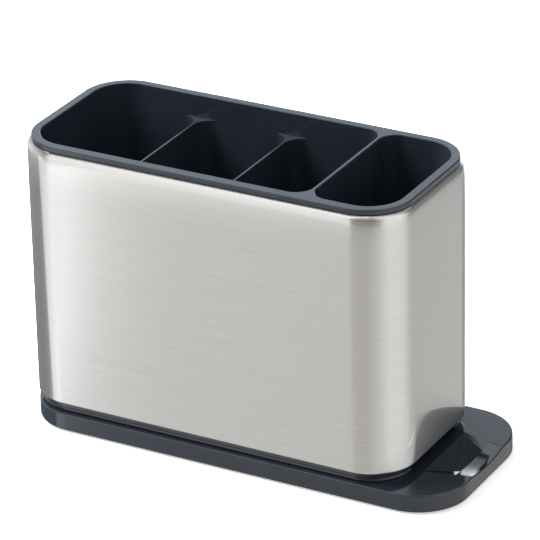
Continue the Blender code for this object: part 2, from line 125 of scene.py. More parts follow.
# Insets from the sleeve's outline, worked out from the sizes above
PLINTH_START = PLINTH_INSET - PLINTH_FOOT
LOCATOR_OUTER = HEM_ROLL + HEM_LEDGE + LOCATOR_CLEARANCE
LOCATOR_INNER = LOCATOR_OUTER + LOCATOR

# How finely round stretches are divided. A guard row lies close beside a rounded edge, on the flat next to
# it, so that the shading of the edge doesn't spread over the flat.
CORNER_STEPS = 32
ROUND_STEPS = 6
SPAN_STEPS = 64
CROWN_STEPS = 10
FLOOR_STEPS = 16
GUARD = 0.1 * MM
GAP_GUARD = 0.3 * MM
SHARP_ANGLE = math.radians(38)


class Plan:
    """A rectangle in plan with a radius for each corner, from the front left one counter-clockwise."""

    def __init__(self, left, right, front, back, radii):
        self.left, self.right, self.front, self.back = left, right, front, back
        self.radii = radii

    def outline(self, inset=0.0, front_stops=(), right_stops=(), back_stops=()):
        """Outline drawn in by `inset`: each corner's arc keeps its centre, and its radius loses the inset.

        Stops are extra points on the straight sides, in the order of travel: counter-clockwise from the front
        left.
        """
        turn = np.linspace(0, 0.5 * math.pi, CORNER_STEPS + 1)
        corners = (
            (self.left, self.front, 1, 1, math.pi, [(x, self.front + inset) for x in front_stops]),
            (self.right, self.front, -1, 1, 1.5 * math.pi, [(self.right - inset, y) for y in right_stops]),
            (self.right, self.back, -1, -1, 0.0, [(x, self.back - inset) for x in back_stops]),
            (self.left, self.back, 1, -1, 0.5 * math.pi, []),
        )
        points = []
        for (x, y, inward_x, inward_y, start, stops), radius in zip(corners, self.radii):
            centre = np.array((x + inward_x * radius, y + inward_y * radius))
            arc = np.stack([np.cos(start + turn), np.sin(start + turn)], axis=1)
            points.append(centre + (radius - inset) * arc)
            if stops:
                points.append(np.array(stops))
        return np.concatenate(points)


def at_height(outline, z):
    """An outline as points in space; z is one height or one for each point."""
    return np.column_stack([outline, np.broadcast_to(z, len(outline))])


def round_in(radius, steps=ROUND_STEPS):
    """Quarter circle from an upright side over to a level top, as rows of (inset, drop below the top)."""
    angle = np.linspace(0, 0.5 * math.pi, steps + 1)
    return np.stack([radius * (1 - np.cos(angle)), radius * (1 - np.sin(angle))], axis=1)


def distances(points):
    """Distance along a line of points from its start to each of them."""
    steps = np.linalg.norm(np.diff(points, axis=0), axis=1)
    return np.concatenate([[0], np.cumsum(steps)])


def add_uv(mesh, name, places):
    """UV map that gives each vertex one place."""
    corners = np.zeros(len(mesh.loops), dtype=np.int32)
    mesh.loops.foreach_get("vertex_index", corners)
    mesh.uv_layers.new(name=name).data.foreach_set("uv", places[corners].ravel())


class Surface:
    """Grids and flat faces that become one mesh."""

    def __init__(self):
        self.points = []
        self.faces = []
        self.count = 0

    def add_points(self, points):
        """Keeps some points and returns their numbers."""
        points = np.asarray(points, dtype=float).reshape(-1, 3)
        self.points.append(points)
        numbers = np.arange(self.count, self.count + len(points))
        self.count += len(points)
        return numbers

    def grid(self, rows, wrap=False):
        """Quads between neighbouring rows and columns of an array of points; `wrap` joins each row's ends."""
        rows = np.asarray(rows, dtype=float)
        numbers = self.add_points(rows).reshape(rows.shape[:2])
        here = numbers if wrap else numbers[:, :-1]
        after = np.roll(numbers, -1, axis=1) if wrap else numbers[:, 1:]
        quads = np.stack([here[:-1], after[:-1], after[1:], here[1:]], axis=-1)
        self.faces += quads.reshape(-1, 4).tolist()

    def flat(self, loops, facing):
        """A flat face with holes: triangles between closed loops, the first of them its outside."""
        bm = bmesh.new()
        for loop in loops:
            verts = [bm.verts.new(point) for point in loop]
            for start, end in zip(verts, verts[1:] + verts[:1]):
                bm.edges.new((start, end))
        bmesh.ops.remove_doubles(bm, verts=bm.verts, dist=WELD)
        bmesh.ops.triangle_fill(bm, use_beauty=True, use_dissolve=False, edges=bm.edges)
        bm.verts.index_update()
        bm.normal_update()
        numbers = self.add_points([vert.co for vert in bm.verts])
        for face in bm.faces:
            corner = [int(numbers[vert.index]) for vert in face.verts]
            self.faces.append(corner if face.normal.dot(Vector(facing)) > 0 else corner[::-1])
        bm.free()

    def mesh(self, name):
        """The surface as it is, as a mesh."""
        mesh = bpy.data.meshes.new(name)
        mesh.from_pydata(np.concatenate(self.points).tolist(), [], self.faces)
        return mesh

    def finish(self, name, material, places=None):
        """The finished object: seams welded, slivers removed, smooth but for real edges.

        Places, where given, are each point's place on a UV map round the object.
        """
        mesh = self.mesh(name)
        if places is not None:
            add_uv(mesh, "around", places)
        bm = bmesh.new()
        bm.from_mesh(mesh)
        bmesh.ops.remove_doubles(bm, verts=bm.verts, dist=WELD)
        bmesh.ops.dissolve_degenerate(bm, edges=bm.edges, dist=WELD)
        bm.to_mesh(mesh)
        bm.free()
        mesh.shade_smooth()
        mesh.set_sharp_from_angle(angle=SHARP_ANGLE)
        mesh.materials.append(material)
        piece = bpy.data.objects.new(name, mesh)
        bpy.context.scene.collection.objects.link(piece)
        return piece


# Nodes


def set_inputs(node, values):
    """Sets some of a node's sockets, by name."""
    for name, value in values.items():
        node.inputs[name].default_value = value


def noise(nodes, links, source, scale, detail, roughness):
    """Noise on some coordinates."""
    node = nodes.new("ShaderNodeTexNoise")
    set_inputs(node, {"Scale": scale, "Detail": detail, "Roughness": roughness})
    links.new(source, node.inputs["Vector"])
    return node.outputs["Fac"]


def ramp(nodes, links, source, stops):
    """Colour ramp with (position, colour) stops."""
    node = nodes.new("ShaderNodeValToRGB")
    elements = node.color_ramp.elements
    while len(elements) < len(stops):
        elements.new(0.5)
    for element, (position, color) in zip(elements, stops):
        element.position = position
        element.color = color
    links.new(source, node.inputs["Fac"])
    return node.outputs["Color"]


def two_tone(nodes, links, source, spread, low, high):
    """Colour that goes from one tone to another over a spread of the source."""
    return ramp(nodes, links, source, [(spread[0], low), (spread[1], high)])


def to_range(nodes, links, source, low, high):
    """Maps 0 to 1 onto another range."""
    node = nodes.new("ShaderNodeMapRange")
    set_inputs(node, {"To Min": low, "To Max": high})
    links.new(source, node.inputs["Value"])
    return node.outputs["Result"]


def relief(nodes, links, source, strength, height):
    """Normals of a fine relief of some height."""
    node = nodes.new("ShaderNodeBump")
    set_inputs(node, {"Strength": strength, "Distance": height})
    links.new(source, node.inputs["Height"])
    return node.outputs["Normal"]


def add_shaders(nodes, links, first, second):
    """The sum of two shaders."""
    node = nodes.new("ShaderNodeAddShader")
    links.new(first, node.inputs[0])
    links.new(second, node.inputs[1])
    return node.outputs["Shader"]


def mix_shaders(nodes, links, factor, first, second):
    """The first shader where the factor is 0, the second where it is 1."""
    node = nodes.new("ShaderNodeMixShader")
    links.new(factor, node.inputs["Fac"])
    links.new(first, node.inputs[1])
    links.new(second, node.inputs[2])
    return node.outputs["Shader"]


def empty_tree(owner):
    """Nodes and links of a material or world, with nothing in them yet."""
    owner.use_nodes = True
    owner.node_tree.nodes.clear()
    return owner.node_tree.nodes, owner.node_tree.links


# Finishes. A noise or a set of streaks is (scale, detail, roughness), and the streaks' scale is in cells for
# each metre round the sleeve and up it. A spread is the stretch of a noise over which a colour changes, and a
# roughness with two values varies between them.
FINE_STREAKS = ((45, 2600, 1), 3.0, 0.6)
BROAD_STREAKS = ((14, 420, 1), 2.0, 0.5)
BROAD_SHARE = 0.35
STEEL_SPREAD = (0.25, 0.75)
STEEL_DARK = (0.330, 0.325, 0.315, 1)
STEEL_LIGHT = (0.430, 0.425, 0.412, 1)
SATIN_ROUGHNESS = (0.26, 0.36)
STREAK_STRENGTH = 0.10
STREAK_HEIGHT = 0.01 * MM
SATIN_ANISOTROPY = 0.9
QUARTER_TURN = 0.25
POLISH_IOR = 3.4
POLISH_ROUGHNESS = 0.06

CLOUD_NOISE = (55.0, 4.0, 0.55)
CLOUD_SPREAD = (0.3, 0.7)
CLOUD_TONE = 0.12
CLOUD_GLOSS = 0.2
WAVE_NOISE = (140.0, 2.0, 0.5)
WAVE_STRENGTH = 0.12
WAVE_HEIGHT = 0.03 * MM
PLASTIC_IOR = 1.5
INSERT_TONE = (0.017, 0.022, 0.031)
INSERT_ROUGHNESS = 0.10
TRAY_TONE = (0.013, 0.0175, 0.025)
TRAY_ROUGHNESS = 0.06

GRAIN_NOISE = (1800.0, 3.0, 0.6)
GRAIN_SPREAD = (0.3, 0.7)
GRAIN_STRENGTH = 0.3
GRAIN_HEIGHT = 0.05 * MM
RUBBER_DARK = (0.013, 0.013, 0.014, 1)
RUBBER_LIGHT = (0.024, 0.024, 0.025, 1)
RUBBER_ROUGHNESS = (0.6, 0.8)


def new_material(name):
    """A new material, with its nodes, its links and its Principled shader."""
    material = bpy.data.materials.new(name)
    material.use_nodes = True
    nodes = material.node_tree.nodes
    return material, nodes, material.node_tree.links, nodes["Principled BSDF"]


def streaks(nodes, links, source, scale, detail, roughness):
    """Noise drawn out into streaks."""
    mapping = nodes.new("ShaderNodeMapping")
    set_inputs(mapping, {"Scale": scale})
    links.new(source, mapping.inputs["Vector"])
    return noise(nodes, links, mapping.outputs["Vector"], 1.0, detail, roughness)


def brushed_steel():
    """Steel brushed round the sleeve: a satin of long fine streaks on the UV map under a sharper polish.

    The satin spreads reflections up and down, across the streaks. The polish is the shader's coat, with a
    metal's strength, and the same streaks break it up.
    """
    material, nodes, links, shader = new_material("brushed_steel")
    place = nodes.new("ShaderNodeUVMap")
    place.uv_map = "around"
    fine = streaks(nodes, links, place.outputs["UV"], *FINE_STREAKS)
    broad = streaks(nodes, links, place.outputs["UV"], *BROAD_STREAKS)
    both = nodes.new("ShaderNodeMix")
    both.data_type = "FLOAT"
    both.inputs["Factor"].default_value = BROAD_SHARE
    links.new(fine, both.inputs["A"])
    links.new(broad, both.inputs["B"])
    tone = two_tone(nodes, links, both.outputs["Result"], STEEL_SPREAD, STEEL_DARK, STEEL_LIGHT)
    links.new(tone, shader.inputs["Base Color"])
    links.new(to_range(nodes, links, both.outputs["Result"], *SATIN_ROUGHNESS), shader.inputs["Roughness"])
    normal = relief(nodes, links, fine, STREAK_STRENGTH, STREAK_HEIGHT)
    links.new(normal, shader.inputs["Normal"])
    links.new(normal, shader.inputs["Coat Normal"])
    tangent = nodes.new("ShaderNodeTangent")
    tangent.direction_type = "UV_MAP"
    tangent.uv_map = "around"
    links.new(tangent.outputs["Tangent"], shader.inputs["Tangent"])
    set_inputs(shader, {"Metallic": 1.0})
    set_inputs(shader, {"Anisotropic": SATIN_ANISOTROPY, "Anisotropic Rotation": QUARTER_TURN})
    set_inputs(shader, {"Coat Weight": 1.0, "Coat IOR": POLISH_IOR, "Coat Roughness": POLISH_ROUGHNESS})
    return material


def moulded_plastic(name, tone, roughness):
    """Dark moulded plastic: faint clouding of its colour and gloss, and a moulded skin's slight waviness."""
    material, nodes, links, shader = new_material(name)
    place = nodes.new("ShaderNodeTexCoord").outputs["Object"]
    cloud = noise(nodes, links, place, *CLOUD_NOISE)
    low = tuple((1 - CLOUD_TONE) * channel for channel in tone) + (1,)
    high = tuple((1 + CLOUD_TONE) * channel for channel in tone) + (1,)
    links.new(two_tone(nodes, links, cloud, CLOUD_SPREAD, low, high), shader.inputs["Base Color"])
    gloss = to_range(nodes, links, cloud, roughness * (1 - CLOUD_GLOSS), roughness * (1 + CLOUD_GLOSS))
    links.new(gloss, shader.inputs["Roughness"])
    wave = noise(nodes, links, place, *WAVE_NOISE)
    links.new(relief(nodes, links, wave, WAVE_STRENGTH, WAVE_HEIGHT), shader.inputs["Normal"])
    shader.inputs["IOR"].default_value = PLASTIC_IOR
    return material


def foot_rubber():
    """Matte black rubber with a fine grain."""
    material, nodes, links, shader = new_material("foot_rubber")
    place = nodes.new("ShaderNodeTexCoord").outputs["Object"]
    grain = noise(nodes, links, place, *GRAIN_NOISE)
    color = two_tone(nodes, links, grain, GRAIN_SPREAD, RUBBER_DARK, RUBBER_LIGHT)
    links.new(color, shader.inputs["Base Color"])
    links.new(to_range(nodes, links, grain, *RUBBER_ROUGHNESS), shader.inputs["Roughness"])
    links.new(relief(nodes, links, grain, GRAIN_STRENGTH, GRAIN_HEIGHT), shader.inputs["Normal"])
    return material


# Steel sleeve


def sleeve_plan():
    """Outside of the sleeve in plan, from its box."""
    low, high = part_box("steel_sleeve")
    return Plan(low.x, high.x, low.y, high.y, [SLEEVE_CORNER] * 4)


def sleeve_section(low_z, high_z):
    """Closed section of the sheet as rows of (inset, height): up the outside, over the roll, down the inside.

    Below the roll the side leans in by a crown that grows with the square of the height, as a drawn edge's.
    """
    roll_z = high_z - TOP_ROLL
    crown_z = roll_z + CROWN_HEIGHT * np.linspace(-1, 0, CROWN_STEPS + 1)[:-1]
    crown = np.stack([CROWN_INSET * ((crown_z - roll_z) / CROWN_HEIGHT + 1) ** 2, crown_z], axis=1)
    guard = [(0.0, low_z + HEM_ROLL + GUARD)]
    outside = [(HEM_ROLL + HEM_LEDGE, low_z)]
    outside += [(inset, low_z + drop) for inset, drop in round_in(HEM_ROLL)[::-1]]
    outside += guard + crown.tolist()
    outside += [(CROWN_INSET + inset * (1 - CROWN_INSET / TOP_ROLL), high_z - drop)
                for inset, drop in round_in(TOP_ROLL, 2 * ROUND_STEPS)]
    outside.append((TOP_ROLL + TOP_LEDGE, high_z))
    inner_roll = TOP_ROLL - SHEET
    inside = [(TOP_ROLL + TOP_LEDGE, high_z - SHEET)]
    inside += [(SHEET + CROWN_INSET + inset * (1 - CROWN_INSET / inner_roll), high_z - SHEET - drop)
               for inset, drop in round_in(inner_roll, 2 * ROUND_STEPS)[::-1]]
    inside += [(SHEET + inset, z) for inset, z in crown[::-1].tolist() + guard]
    inside += [(SHEET + inset, low_z + SHEET + drop) for inset, drop in round_in(HEM_ROLL - SHEET)]
    inside.append((HEM_ROLL + HEM_LEDGE, low_z + SHEET))
    return outside + inside


def make_sleeve(material):
    """The sleeve: its section carried round the plan, from the middle of the back and back there.

    Its UV map holds metres round the sleeve, measured just above the hem, and metres along the section.
    """
    plan = sleeve_plan()
    low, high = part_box("steel_sleeve")
    section = sleeve_section(low.z, high.z)
    section.append(section[0])
    middle = (low.x + high.x) / 2
    rows = np.array([at_height(plan.outline(inset, back_stops=(middle,)), z) for inset, z in section])
    points_before_middle = 3 * (CORNER_STEPS + 1)
    rows = np.roll(rows, -points_before_middle, axis=1)
    rows = np.concatenate([rows, rows[:, :1]], axis=1)
    shell = Surface()
    shell.grid(rows)
    around = distances(rows[len(round_in(HEM_ROLL)) + 1])
    along = distances(np.array(section))
    places = np.stack([np.tile(around, len(along)), np.repeat(along, len(around))], axis=1)
    return shell.finish("steel_body", material, places)


# Insert


def slot_outline(centre_x, half_length):
    """One round-ended slot in plan: two half circles joined by straight sides."""
    radius = SLOT_WIDTH / 2
    turn = np.linspace(0, math.pi, 2 * ROUND_STEPS + 1)
    half_circle = radius * np.stack([np.cos(turn), np.sin(turn)], axis=1)
    back_end = (centre_x, half_length - radius) + half_circle
    front_end = (centre_x, radius - half_length) - half_circle
    return np.concatenate([back_end, front_end])


def drain_slots(cells, half_length):
    """Slots of every cell, side by side at an even pitch about the cell's middle."""
    slots = []
    for left, right in cells:
        count = int((right - left) * SLOT_FIELD_SHARE / SLOT_PITCH) + 1
        first = (left + right - (count - 1) * SLOT_PITCH) / 2
        slots += [slot_outline(first + number * SLOT_PITCH, half_length) for number in range(count)]
    return slots


def cells_along(left, wall_left, wall_right, right):
    """Ends along X of the cells: equal ones between the low dividers, and one past the full divider."""
    cell = (wall_left - left - LOW_DIVIDERS * LOW_DIVIDER) / (LOW_DIVIDERS + 1)
    starts = [left + number * (cell + LOW_DIVIDER) for number in range(LOW_DIVIDERS + 1)]
    return [(start, start + cell) for start in starts] + [(wall_right, right)]


def divider_outline(centre_x, span, inset):
    """Low divider in plan: a thin wall whose ends open into hollow quarter circles at the well's walls.

    Drawing it in by `inset` thins the wall and widens the circles about their own centres. The ends reach
    half way into the well's walls.
    """
    turn = np.linspace(0, 0.5 * math.pi, 2 * ROUND_STEPS + 1)
    reach = LOW_DIVIDER / 2 + LOW_DIVIDER_FILLET
    x = reach - (LOW_DIVIDER_FILLET + inset) * np.cos(turn)
    y = span - LOW_DIVIDER_FILLET + (LOW_DIVIDER_FILLET + inset) * np.sin(turn)
    quarter = np.stack([np.append(x, reach), np.append(y, span + TUB_WALL / 2)], axis=1)
    quarters = [quarter, quarter[::-1] * (-1, 1), quarter * (-1, -1), quarter[::-1] * (1, -1)]
    return np.concatenate(quarters) + (centre_x, 0)


def add_well(tub, well, top, slots, rim_top, floor_z):
    """One well: its half of the rim's top, its rounded edge, its drafted wall, its foot and its floor."""
    rows = [at_height(top.outline(), rim_top), at_height(well.outline(-WELL_EDGE - GUARD), rim_top)]
    rows += [at_height(well.outline(inset - WELL_EDGE), rim_top - WELL_EDGE + drop)
             for drop, inset in round_in(WELL_EDGE)[::-1]]
    rows.append(at_height(well.outline(0), rim_top - WELL_EDGE - GUARD))
    rows.append(at_height(well.outline(DRAFT), floor_z + WELL_FOOT + GUARD))
    rows += [at_height(well.outline(DRAFT + inset), floor_z + drop) for inset, drop in round_in(WELL_FOOT)]
    tub.grid(rows, wrap=True)
    floor_edge = at_height(well.outline(DRAFT + WELL_FOOT), floor_z)
    tub.flat([floor_edge] + [at_height(slot, floor_z) for slot in slots], UP)


def add_low_divider(tub, centre_x, back, floor_z, top_z):
    """One low divider, from half way into the floor up to its rounded top edge."""
    edge = [(0, LOW_DIVIDER_EDGE + GUARD), *round_in(LOW_DIVIDER_EDGE), (LOW_DIVIDER_EDGE + GUARD, 0)]
    rows = [at_height(divider_outline(centre_x, back - DRAFT, 0), floor_z - TUB_FLOOR / 2)]
    rows += [at_height(divider_outline(centre_x, back, inset), top_z - drop) for inset, drop in edge]
    tub.grid(rows, wrap=True)
    tub.flat([rows[-1]], UP)
    tub.flat([rows[0]], DOWN)


def make_insert(material):
    """The insert: tub and rim as rows of outlines, two wells with half the top each, slots, low dividers."""
    low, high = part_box("caddy_insert")
    rim = Plan(low.x, high.x, low.y, high.y, [RIM_CORNER] * 4)
    rim_top, tub_bottom = high.z, low.z
    rim_bottom, floor_z = rim_top - RIM_HEIGHT, tub_bottom + TUB_FLOOR
    left, right = rim.left + RIM_WIDTH, rim.right - RIM_WIDTH
    front, back = rim.front + RIM_WIDTH, rim.back - RIM_WIDTH
    wall_right = right - FULL_DIVIDER_FROM_RIGHT
    wall_left = wall_right - FULL_DIVIDER
    wall_x = (wall_left + wall_right) / 2
    corner, fillet = WELL_CORNER, FULL_DIVIDER_FILLET
    wells = [Plan(left, wall_left, front, back, (corner, fillet, fillet, corner)),
             Plan(wall_right, right, front, back, (fillet, corner, corner, fillet))]

    tub = Surface()
    stops = {"front_stops": (wall_x,), "back_stops": (wall_x,)}
    under = RIM_WIDTH - TUB_WALL
    outside = [(under + DRAFT + inset, tub_bottom + drop) for inset, drop in round_in(WELL_FOOT)[::-1]]
    outside += [(under, rim_bottom), (0, rim_bottom), (0, rim_top - RIM_EDGE - GUARD)]
    outside += [(inset, rim_top - drop) for inset, drop in round_in(RIM_EDGE)] + [(RIM_EDGE + GUARD, rim_top)]
    tub.grid([at_height(rim.outline(inset, **stops), z) for inset, z in outside], wrap=True)

    cells = cells_along(left, wall_left, wall_right, right)
    slots = drain_slots(cells, (back - front) * SLOT_LENGTH_SHARE / 2)
    edge = RIM_EDGE + GUARD
    top_front, top_back, top_corner = rim.front + edge, rim.back - edge, RIM_CORNER - edge
    tops = [Plan(rim.left + edge, wall_x, top_front, top_back, (top_corner, 0, 0, top_corner)),
            Plan(wall_x, rim.right - edge, top_front, top_back, (0, top_corner, top_corner, 0))]
    for well, top in zip(wells, tops):
        inside = [slot for slot in slots if well.left < slot[0, 0] < well.right]
        add_well(tub, well, top, inside, rim_top, floor_z)
    bottom = at_height(rim.outline(under + DRAFT + WELL_FOOT, **stops), tub_bottom)
    tub.flat([bottom] + [at_height(slot, tub_bottom) for slot in slots], DOWN)
    for slot in slots:
        tub.grid([at_height(slot, floor_z), at_height(slot, tub_bottom)], wrap=True)
    for _, cell_right in cells[:LOW_DIVIDERS]:
        add_low_divider(tub, cell_right + LOW_DIVIDER / 2, back, floor_z, rim_top - LOW_DIVIDER_DROP)
    return tub.finish("insert_shell", material)


# Tray


def ring_outline(plan, inset, gap):
    """Open outline with a gap in its right side: from the gap's back edge by the back, left and front.

    It ends at the gap's front edge.
    """
    middle = (plan.front + plan.back) / 2
    stops = np.array((-gap / 2 - GAP_GUARD, -gap / 2, gap / 2, gap / 2 + GAP_GUARD)) + middle
    whole = plan.outline(inset, right_stops=stops)
    points_before_back_edge = 2 * (CORNER_STEPS + 1) + 2
    return np.roll(whole, -points_before_back_edge, axis=0)


def wall_section(bottom_z, ceiling_z):
    """Skirt as rows of (inset, height): down its inside, under it, round its foot, and on to its outside."""
    rows = [(SKIRT, ceiling_z), (SKIRT, bottom_z), (TRAY_EDGE, bottom_z)]
    rows += [(inset, bottom_z + drop) for inset, drop in round_in(TRAY_EDGE)[::-1]]
    return rows + [(0, bottom_z + TRAY_EDGE + GUARD)]


def plinth_section(deck_z, locator_z):
    """Plinth and locating wall as rows of (inset, height): hollow foot, rounded edge, ledge, then wall."""
    ledge_z = deck_z + PLINTH_HEIGHT - SEAT_GAP
    rows = [(PLINTH_START + PLINTH_FOOT * math.sin(turn), deck_z + PLINTH_FOOT * (1 - math.cos(turn)))
            for turn in np.linspace(0, 0.5 * math.pi, ROUND_STEPS + 1)]
    rows += [(PLINTH_INSET + inset, ledge_z - drop) for inset, drop in round_in(PLINTH_EDGE)]
    return rows + [(LOCATOR_OUTER, ledge_z), (LOCATOR_OUTER, locator_z), (LOCATOR_INNER, locator_z)]


def channel_half(x, start_x, end_x):
    """Half the width of the channel, which narrows evenly from the gate to the tray's edge."""
    share = np.clip((x - start_x) / (end_x - start_x), 0, 1)
    return (GATE + (CHANNEL_END - GATE) * share) / 2


def lip_depth(x, y, half, end_x):
    """How far the pouring lip lies below the deck: deepest along its middle, as a dish.

    The dip falls with a power of the distance from the middle and eases out level at the sides. Near the
    tray's edge the lip rolls over and down, by the square of the way through the last stretch.
    """
    share = np.clip(np.abs(y) / half, 0, 1)
    roll = np.clip((x - end_x + LIP_ROLL_WIDTH) / LIP_ROLL_WIDTH, 0, 1) ** 2
    depth = (LIP_DIP + LIP_ROLL * roll) * (1 - share ** LIP_POWER)
    return np.sqrt(depth ** 2 + LIP_SIDE_EASE ** 2) - LIP_SIDE_EASE


def channel_side(wall):
    """Side of the channel as rows of (distance in, depth): over the deck's edge, then down an even ramp.

    Rows close to the ramp's foot keep the crease there crisp.
    """
    share = wall / CHANNEL_DEPTH
    turn = np.linspace(0, CHANNEL_BANK, ROUND_STEPS + 1)
    upper = CHANNEL_EDGE * share * np.stack([np.sin(turn), 1 - np.cos(turn)], axis=1)
    down = np.array((1, math.tan(CHANNEL_BANK)))
    foot = upper[-1] + (wall - upper[-1, 1]) / down[1] * down
    guard = GUARD * share
    return np.concatenate([upper, [foot - guard * down, foot, foot + (guard, 0)]])


def channel_row(half, wall):
    """Places across the channel as (y, depth below the deck), from its back edge to its front edge."""
    side = channel_side(wall)
    foot = side[-1, 0]
    inner = np.linspace(half - foot, foot - half, SPAN_STEPS + 1)[1:-1]
    y = np.concatenate([half - side[:, 0], inner, (side[:, 0] - half)[::-1]])
    return y, np.concatenate([side[:, 1], np.full(len(inner), wall), side[::-1, 1]])


def across(x, y, z):
    """A row of points across the spout, at one x."""
    return np.column_stack([np.full(len(y), x), y, np.broadcast_to(z, len(y))])


def spout_rows(plan, wall, deck_z, lip_x, floor_x):
    """Rows across the spout: up the tray's wall, over its edge, in along the lip, then along the channel.

    The lip runs from the tray's edge in to the crease, and the channel's floor from there to the plinth.
    """
    end_x, crease_x, start_x = lip_x[0], lip_x[-1], floor_x[-1]
    wall_y, _ = channel_row(CHANNEL_END / 2, 0.0)
    rows = [across(plan.right - inset, wall_y, z) for inset, z in wall]
    edge = [(0, TRAY_EDGE + GUARD)] + round_in(TRAY_EDGE)[:-1].tolist()
    for x, drop in [(plan.right - inset, drop) for inset, drop in edge] + [(x, 0) for x in lip_x]:
        half = channel_half(x, start_x, end_x)
        y, _ = channel_row(half, 0.0)
        rows.append(across(x, y, deck_z - drop - lip_depth(min(x, end_x), y, half, end_x)))
    for x in floor_x:
        depth = CHANNEL_DEPTH * (x - start_x) / (crease_x - start_x)
        y, drops = channel_row(channel_half(x, start_x, end_x), depth)
        rows.append(across(x, y, deck_z - drops))
    return rows


def make_tray(material):
    """The tray: rows round the plinth, rows across the spout, the drip floor, and what is under the deck.

    The deck's rows lie between the tray's edge and the plinth at the same shares of the way as the spout's.
    """
    low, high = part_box("base_tray")
    plan = Plan(low.x, high.x, low.y, high.y, [TRAY_CORNER] * 4)
    sleeve = sleeve_plan()
    bottom_z, deck_z = low.z, low.z + DECK_HEIGHT
    ceiling_z = deck_z - DECK
    end_x, crease_x, start_x = plan.right - TRAY_EDGE, plan.right - LIP_LENGTH, sleeve.right - PLINTH_START
    lip_x = np.linspace(end_x, crease_x, 2 * FLOOR_STEPS + 1)
    floor_x = np.linspace(crease_x, start_x, 2 * FLOOR_STEPS + 1)
    tray = Surface()

    def on_drip_floor(outline):
        """An outline on the drip floor, which falls evenly from the sleeve's left end to its right end."""
        fall = DRIP_FALL * (sleeve.right - outline[:, 0]) / (sleeve.right - sleeve.left)
        return at_height(outline, deck_z + fall)

    wall = wall_section(bottom_z, ceiling_z)
    edge = [(0, deck_z - TRAY_EDGE - GUARD)] + [(inset, deck_z - drop) for inset, drop in round_in(TRAY_EDGE)]
    rows = [at_height(ring_outline(plan, inset, CHANNEL_END), z) for inset, z in wall + edge]
    outer, inner = rows[-1], at_height(ring_outline(sleeve, PLINTH_START, GATE), deck_z)
    deck_x = np.concatenate([lip_x[1:], floor_x[1:-1]])
    rows += [outer + (inner - outer) * (end_x - x) / (end_x - start_x) for x in deck_x]
    plinth = plinth_section(deck_z, high.z)
    rows += [at_height(ring_outline(sleeve, inset, GATE), z) for inset, z in plinth]
    drip_edge = ring_outline(sleeve, LOCATOR_INNER, GATE)
    tray.grid(rows + [on_drip_floor(drip_edge)])

    spout = spout_rows(plan, wall, deck_z, lip_x, floor_x)
    gate_y, _ = channel_row(GATE / 2, 0.0)
    gate_end = np.column_stack([np.full(len(gate_y), sleeve.right - LOCATOR_INNER), gate_y])
    tray.grid(np.array(spout + [on_drip_floor(gate_end)])[:, ::-1])
    tray.flat([on_drip_floor(np.concatenate([drip_edge, gate_end[::-1]]))], UP)

    x, _, z = on_drip_floor(gate_end)[0]
    section = np.array([(sleeve.right - inset, height) for inset, height in plinth] + [(x, z)])
    for y, facing in ((GATE / 2, -1), (-GATE / 2, 1)):
        cheek = np.column_stack([section[:, 0], np.full(len(section), y), section[:, 1]])
        tray.flat([cheek], (0, facing, 0))

    ceiling = np.concatenate([ring_outline(plan, SKIRT, CHANNEL_END), spout[0][::-1, :2]])
    tray.flat([at_height(ceiling, ceiling_z)], DOWN)
    add_ribs(tray, plan, ceiling_z)
    for name in FEET:
        add_boss(tray, foot_place(name), bottom_z, ceiling_z)
    return tray.finish("tray_shell", material)


def add_ribs(tray, plan, ceiling_z):
    """Ribs under the deck: bars across at even steps and one along, each sunk a little into what it meets."""
    inside = SKIRT - SUNK
    left, right = plan.left + inside, plan.right - inside
    front, back = plan.front + inside, plan.back - inside
    middle = (front + back) / 2
    bars = [(left, right, middle - RIB / 2, middle + RIB / 2)]
    for number in range(1, CROSS_RIBS + 1):
        x = plan.left + (plan.right - plan.left) * number / (CROSS_RIBS + 1)
        bars.append((x - RIB / 2, x + RIB / 2, front, back))
    for x0, x1, y0, y1 in bars:
        bar = np.array(((x0, y0), (x1, y0), (x1, y1), (x0, y1)))
        lower, upper = at_height(bar, ceiling_z - RIB_HEIGHT), at_height(bar, ceiling_z + SUNK)
        tray.grid([lower, upper], wrap=True)
        tray.flat([lower], DOWN)
        tray.flat([upper], UP)


def foot_place(name):
    """Centre of a foot in plan, from its box."""
    low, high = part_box(name)
    return (low.x + high.x) / 2, (low.y + high.y) / 2


def add_boss(tray, centre, bottom_z, ceiling_z):
    """Round boss under the deck, with the pocket that its foot is pressed into."""
    turn = np.linspace(0, 2 * math.pi, 4 * ROUND_STEPS, endpoint=False)
    circle = np.stack([np.cos(turn), np.sin(turn)], axis=1)
    pocket, outer = FOOT_POCKET_RADIUS, FOOT_POCKET_RADIUS + FOOT_BOSS
    section = [(pocket, bottom_z + FOOT_POCKET_DEPTH), (pocket, bottom_z)]
    section += [(outer, bottom_z), (outer, ceiling_z + SUNK)]
    rows = [at_height(centre + radius * circle, z) for radius, z in section]
    tray.grid(rows, wrap=True)
    tray.flat([rows[0]], DOWN)
    tray.flat([rows[-1]], UP)


# Studio. Angles are in degrees, and azimuth 0 is the front and 90 the right end.

CAMERA_AZIMUTH = 29.09
CAMERA_ELEVATION = 25.54
CAMERA_ROLL = -1.289
CAMERA_DISTANCE = 1.9596
CAMERA_AIM = (-0.00018, 0.0, 0.09117)
CAMERA_LENS = 258.5
CAMERA_CLIP = (0.1, 20.0)
SENSOR_WIDTH = 36.0


def direction(azimuth, elevation):
    """Unit vector towards an azimuth and an elevation."""
    azimuth, elevation = math.radians(azimuth), math.radians(elevation)
    level = math.cos(elevation)
    return Vector((math.sin(azimuth) * level, -math.cos(azimuth) * level, math.sin(elevation)))


